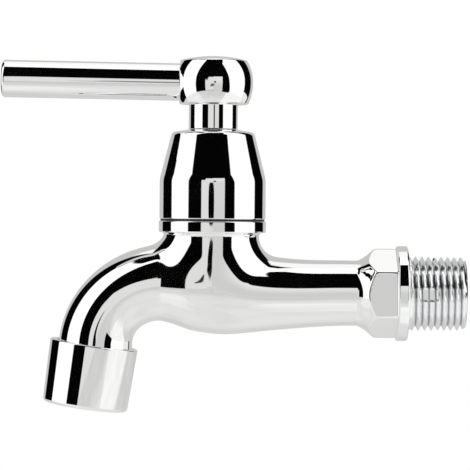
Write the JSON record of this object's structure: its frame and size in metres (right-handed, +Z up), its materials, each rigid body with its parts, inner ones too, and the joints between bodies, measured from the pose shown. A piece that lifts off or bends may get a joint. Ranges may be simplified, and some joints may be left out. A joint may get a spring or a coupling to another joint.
{
  "type": "washing machine tap",
  "caption": "Chromed wall bib tap with a screwed inlet, bent spout, tapered bonnet cap and a quarter turn lever over a ceramic cartridge.",
  "frame": {"origin": "middle of the collar's face that meets the wall, where the inlet thread starts, on the thread's axis", "axes": "+X along the inlet thread into the wall, +Z up along the valve, the spout leaves to -X"},
  "size_m": [0.1309, 0.0302, 0.1004],
  "materials": {
    "chrome": "polished chrome plate on cast brass",
    "brass": "turned bare brass",
    "rubber": "black moulded seal rubber",
    "ceramic": "lapped alumina",
    "white_plastic": "moulded acetal",
    "steel": "stainless spring steel and woven wire"
  },
  "bodies": {
    "tap": {"tap_body": "chrome", "bonnet_cap": "chrome", "nozzle_sleeve": "chrome", "cartridge_housing": "brass", "housing_oring": "rubber", "seat_seal": "rubber", "bonnet_gasket": "rubber", "nozzle_washer": "rubber", "fixed_disc": "ceramic", "thrust_washer": "white_plastic", "aerator_body": "white_plastic", "aerator_plate": "white_plastic", "aerator_screen_upper": "steel", "aerator_screen_lower": "steel"},
    "handle": {"handle_hub": "chrome", "lever_rod": "chrome", "spindle": "brass", "spindle_circlip": "steel", "spindle_oring_lower": "rubber", "spindle_oring_upper": "rubber", "rotating_disc": "ceramic"}
  },
  "joints": [
    {"name": "handle_turn", "type": "hinge", "parent": "tap", "child": "handle", "pos_m": [-0.055, 0, 0.05], "axis": [0, 0, 1], "range_deg": [0, 90]}
  ]
}
